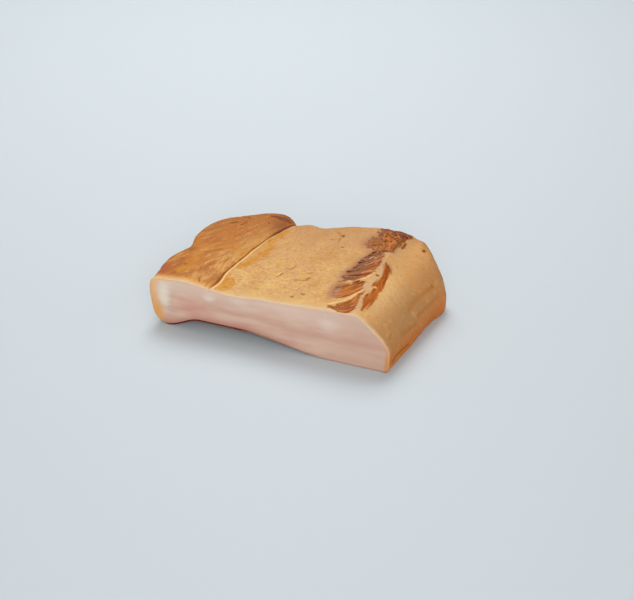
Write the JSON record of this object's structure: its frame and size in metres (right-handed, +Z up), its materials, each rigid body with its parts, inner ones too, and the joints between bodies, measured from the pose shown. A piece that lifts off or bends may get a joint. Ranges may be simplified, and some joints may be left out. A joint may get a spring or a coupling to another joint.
{
  "type": "smoked bacon slab",
  "caption": "Thick block of smoked pork back fat with a fresh pale cut face, tan smoked rind and a streak of lean meat, lying flat as a prop or food item.",
  "frame": {"origin": "middle of the footprint's bounding box, on the surface that the slab lies on", "axes": "+X along the cut face towards the sloping smoked end, +Y from the cut face to the back, +Z up"},
  "size_m": [0.2156, 0.1406, 0.0616],
  "materials": {
    "smoked_fat": "smoked pork fat: tan, slightly greasy rind with a browner left lobe, a streak of dark lean meat on top, and a smooth pinkish white cut face"
  },
  "bodies": {
    "root": {"slab": "smoked_fat"}
  },
  "joints": []
}
